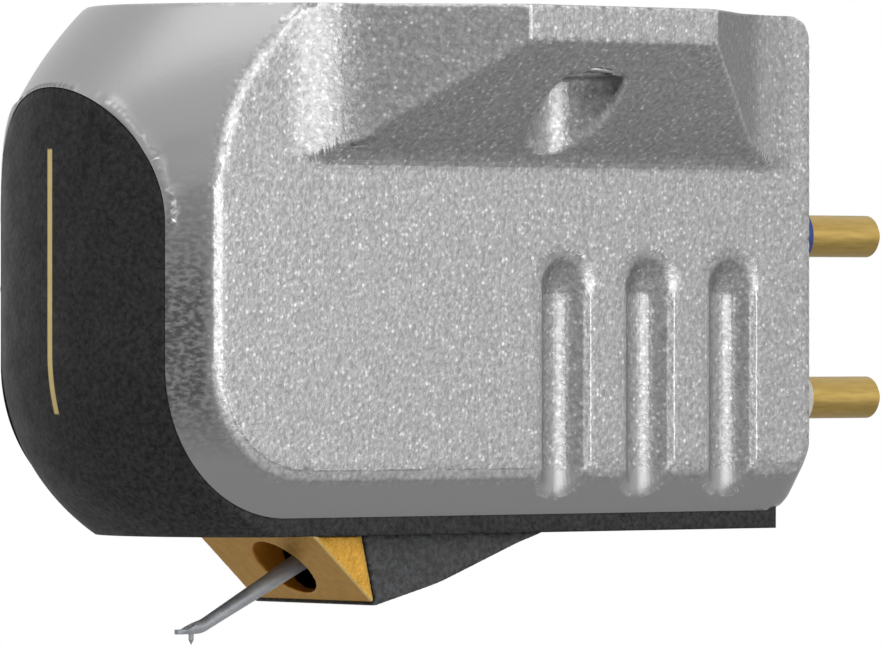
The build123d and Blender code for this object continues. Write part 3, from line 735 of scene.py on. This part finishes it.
def mottled(name, dark, light, grain, roughness, metallic=0.0, stretch=(1, 1, 1)):
    """A finish that varies in tone, gloss and relief over grains of one size in millimetres."""
    material, tree, shader, mm = new_material(name)
    drawn = put(tree, "ShaderNodeVectorMath", {0: mm, 1: stretch}, operation="DIVIDE")
    grains = put(
        tree, "ShaderNodeTexNoise", {"Vector": drawn.outputs[0], "Scale": 1 / grain, "Detail": 4.0, "Roughness": 0.6}
    )
    level = put(tree, "ShaderNodeMapRange", {"Value": grains.outputs["Fac"], "From Min": 0.3, "From Max": 0.7})
    colour = put(
        tree, "ShaderNodeMix", {"Factor": level.outputs[0], 6: linear(dark), 7: linear(light)}, data_type="RGBA"
    )
    gloss = put(
        tree,
        "ShaderNodeMapRange",
        {"Value": level.outputs[0], "To Min": roughness - 0.08, "To Max": roughness + 0.08},
    )
    bump = put(
        tree, "ShaderNodeBump", {"Strength": 0.3, "Distance": 0.1 * grain * MM, "Height": grains.outputs["Fac"]}
    )
    tree.links.new(colour.outputs[2], shader.inputs["Base Color"])
    tree.links.new(gloss.outputs[0], shader.inputs["Roughness"])
    tree.links.new(bump.outputs["Normal"], shader.inputs["Normal"])
    shader.inputs["Metallic"].default_value = metallic
    return material


dress(mottled("neodymium iron, nickel plated", "#8E8B84", "#B5B1A8", 0.3, 0.3, 1.0), "magnet")
dress(mottled("soft iron, ground", "#5E6062", "#86888A", 0.2, 0.38, 1.0, (1, 6, 1)), "rear_yoke", "pole_pin")

# Wire, ferrule and grub screw: spring-steel wire crimped in a small tube, which the
# blackened socket screw clamps in the rear yoke.
drawn_steel = mottled("spring steel, drawn", "#8A8D90", "#B7BABD", 0.05, 0.28, 1.0, (6, 1, 1))
dress(drawn_steel, "suspension_wire", "wire_ferrule")
dress(mottled("steel, blackened", "#26272A", "#45474B", 0.12, 0.45, 0.8), "ferrule_screw")

# Damper, armature and coils: a butyl rubber disc behind a cross of thin alloy sheet,
# with enamelled copper wire wound on its arms.
dress(mottled("butyl rubber, dusted", "#1C1C1D", "#3A3A3B", 0.08, 0.75), "damper")
dress(mottled("nickel-iron sheet, annealed", "#75726C", "#9B978F", 0.12, 0.4, 1.0), "armature")
wound = mottled("enamelled copper wire", "#8A3F17", "#C4692C", 0.06, 0.3, 0.8, (6, 6, 1))
dress(wound, "coil_left", "coil_right")

# Cantilever: a drawn aluminium tube, etched to a dull grey, bent level near its end and
# pinched flat to hold the stylus. The sleeve inside it is the same tube a size smaller.
etched = mottled("aluminium tube, etched grey", "#94979C", "#B2B5B9", 0.3, 0.5, 0.35, (3, 1, 1))
dress(etched, "cantilever", "joint_sleeve")

# Stylus: a square diamond shank ground to a point and glued upright in the cantilever's tip.
# Grinding leaves it greyish, with clearer and duller facets too small to see one by one.
diamond, tree, shader, mm = new_material("diamond, ground")
grind = put(tree, "ShaderNodeTexNoise", {"Vector": mm, "Scale": 30.0, "Detail": 2.0, "Roughness": 0.5})
clear = put(
    tree,
    "ShaderNodeMix",
    {"Factor": grind.outputs["Fac"], 6: linear("#7F8790"), 7: linear("#C9D0D6")},
    data_type="RGBA",
)
matt = put(tree, "ShaderNodeMapRange", {"Value": grind.outputs["Fac"], "To Min": 0.08, "To Max": 0.25})
tree.links.new(clear.outputs[2], shader.inputs["Base Color"])
tree.links.new(matt.outputs[0], shader.inputs["Roughness"])
shader.inputs["IOR"].default_value = 2.0
shader.inputs["Transmission Weight"].default_value = 0.35
dress(diamond, "stylus")

# Fairing: a hollow wedge moulded in soft dark elastomer and pushed over the generator,
# scuffed to an uneven charcoal.
charcoal, tree, shader, mm = new_material("moulded elastomer, scuffed charcoal")
scuffs = put(tree, "ShaderNodeTexNoise", {"Vector": mm, "Scale": 7.0, "Detail": 3.0, "Roughness": 0.7})
patches = put(tree, "ShaderNodeMapRange", {"Value": scuffs.outputs["Fac"], "From Min": 0.4, "From Max": 0.66})
grey = put(
    tree,
    "ShaderNodeMix",
    {"Factor": patches.outputs[0], 6: linear("#151617"), 7: linear("#58595B")},
    data_type="RGBA",
)
dull = put(tree, "ShaderNodeMapRange", {"Value": patches.outputs[0], "To Min": 0.5, "To Max": 0.7})
bump = put(tree, "ShaderNodeBump", {"Strength": 0.4, "Distance": 0.04 * MM, "Height": scuffs.outputs["Fac"]})
tree.links.new(grey.outputs[2], shader.inputs["Base Color"])
tree.links.new(dull.outputs[0], shader.inputs["Roughness"])
tree.links.new(bump.outputs["Normal"], shader.inputs["Normal"])
eased("stylus_fairing", charcoal, 0.06, 4, 24000, evenly)

# Terminal block, pins and collars: a moulded block fills the window in the rear wall and holds
# four gold-plated brass pins, each with a dyed sleeve that gives its channel.
dress(mottled("glass-filled nylon, matt dark grey", "#202123", "#37383A", 0.12, 0.6), "terminal_block")
dress(
    mottled("gold plate on drawn brass", "#A98D4F", "#BBA05E", 0.1, 0.36, 1.0, (8, 1, 1)),
    "pin_left_signal",
    "pin_left_ground",
    "pin_right_signal",
    "pin_right_ground",
)
dress(mottled("dyed nylon sleeve, white", "#C9C4B8", "#E4E0D6", 0.15, 0.5), "collar_white")
dress(mottled("dyed nylon sleeve, blue", "#1E2F73", "#2F469A", 0.15, 0.5), "collar_blue")
dress(mottled("dyed nylon sleeve, red", "#8E1D1B", "#B83230", 0.15, 0.5), "collar_red")
dress(mottled("dyed nylon sleeve, green", "#1D6A38", "#2F8B4F", 0.15, 0.5), "collar_green")

# Leads: hair-fine enamelled copper wire, run along both sides of the rear yoke from the coils
# and soldered to the pins' inner ends.
dress(
    mottled("enamelled copper, fine lead", "#9A4A1C", "#C87334", 0.1, 0.35, 0.8, (5, 1, 1)),
    "lead_left_signal",
    "lead_left_ground",
    "lead_right_signal",
    "lead_right_ground",
)

# Studio: a pale floor well below the cartridge, two soft lamps, dark cards that only metal
# sees, and the photograph's viewpoint.
FLOOR_Z = -60 * MM
FLOOR_HALF = 500 * MM
TARGET = Vector((0, 0, -8 * MM))


def panel(name, half_width, half_height, place, facing):
    """A flat stage panel at a place, turned to face a point."""
    corners = [(-1, -1), (1, -1), (1, 1), (-1, 1)]
    mesh = bpy.data.meshes.new(name)
    mesh.from_pydata([(half_width * x, half_height * y, 0) for x, y in corners], [], [(0, 1, 2, 3)])
    turn = (Vector(facing) - Vector(place)).to_track_quat("Z", "Y").to_matrix().to_4x4()
    mesh.transform(Matrix.Translation(place) @ turn)
    made = bpy.data.objects.new(name, mesh)
    bpy.context.scene.collection.objects.link(made)
    return made


def seen_straight(tree):
    """One for rays from the camera, a mirror or a clear piece, and nought for all others."""
    ray = put(tree, "ShaderNodeLightPath")
    seen = put(
        tree, "ShaderNodeMath", {0: ray.outputs["Is Camera Ray"], 1: ray.outputs["Is Glossy Ray"]}, operation="MAXIMUM"
    )
    shown = put(
        tree, "ShaderNodeMath", {0: seen.outputs[0], 1: ray.outputs["Is Transmission Ray"]}, operation="MAXIMUM"
    )
    return shown.outputs[0]


paper, tree, shader, mm = new_material("matt white paper")
# Pulp fibres, drawn a millimetre coarse so that they show, keep the sheet from one flat white.
fibres = put(tree, "ShaderNodeTexNoise", {"Vector": mm, "Scale": 0.8, "Detail": 3.0, "Roughness": 0.6})
pulp = put(
    tree,
    "ShaderNodeMix",
    {"Factor": fibres.outputs["Fac"], 6: linear("#EEEEEE"), 7: linear("#F4F4F4")},
    data_type="RGBA",
)
lift = put(tree, "ShaderNodeMath", {0: seen_straight(tree), 1: 0.3}, operation="MULTIPLY")
tree.links.new(pulp.outputs[2], shader.inputs["Base Color"])
tree.links.new(pulp.outputs[2], shader.inputs["Emission Color"])
tree.links.new(lift.outputs[0], shader.inputs["Emission Strength"])
shader.inputs["Roughness"].default_value = 0.9
floor = panel("floor", FLOOR_HALF, FLOOR_HALF, (0, 0, FLOOR_Z), (0, 0, 0))
floor.data.materials.append(paper)

CAMERA_TURN = math.radians(39.5)
behind_camera = (-0.45 * math.sin(CAMERA_TURN), -0.45 * math.cos(CAMERA_TURN), -0.02)
for name, half_width, half_height, place, level in (
    ("card_behind_camera", 0.26, 0.12, behind_camera, 0.54),
    ("card_right", 0.2, 0.2, (0.41, 0.18, -0.01), 0.32),
    ("card_below", 0.12, 0.12, (0, 0, -50 * MM), 0.5),
):
    grey, tree, shader, mm = new_material(name.replace("_", " ") + ", grey")
    shader.inputs["Base Color"].default_value = linear("#000000")
    shader.inputs["Emission Color"].default_value = linear("#FFFFFF")
    shader.inputs["Emission Strength"].default_value = level
    shader.inputs["Roughness"].default_value = 1.0
    card = panel(name, half_width, half_height, place, TARGET)
    card.data.materials.append(grey)
    card.visible_camera = False
    card.visible_shadow = False
    card.visible_diffuse = False

world = bpy.data.worlds.new("studio")
bpy.context.scene.world = world
world.use_nodes = True
tree = world.node_tree
tree.nodes.clear()
room = put(tree, "ShaderNodeBackground", {"Color": linear("#FFFFFF"), "Strength": 0.35})
white = put(tree, "ShaderNodeBackground", {"Color": linear("#FFFFFF"), "Strength": 1.0})
mixed = put(tree, "ShaderNodeMixShader", {0: seen_straight(tree), 1: room.outputs[0], 2: white.outputs[0]})
put(tree, "ShaderNodeOutputWorld", {"Surface": mixed.outputs[0]})


def lamp(name, place, size, watts):
    """A soft square lamp that points at the cartridge."""
    light = bpy.data.lights.new(name, "AREA")
    light.size = size
    light.energy = watts
    made = bpy.data.objects.new(name, light)
    made.location = place
    made.rotation_euler = (TARGET - Vector(place)).to_track_quat("-Z", "Y").to_euler()
    bpy.context.scene.collection.objects.link(made)


lamp("front softbox", (0.07, -0.343, 0.05), 0.24, 0.4)
lamp("top softbox", (-0.05, -0.05, 0.45), 0.4, 0.5)

view = bpy.data.cameras.new("photograph view")
view.lens = 371.4
view.sensor_width = 36
view.clip_start = 0.01
camera = bpy.data.objects.new("photograph view", view)
camera.location = (-171.68 * MM, -208.39 * MM, -9.186 * MM)
camera.rotation_euler = (math.pi / 2, 0, -CAMERA_TURN)
bpy.context.scene.collection.objects.link(camera)
bpy.context.scene.camera = camera
bpy.context.scene.view_settings.view_transform = "Standard"
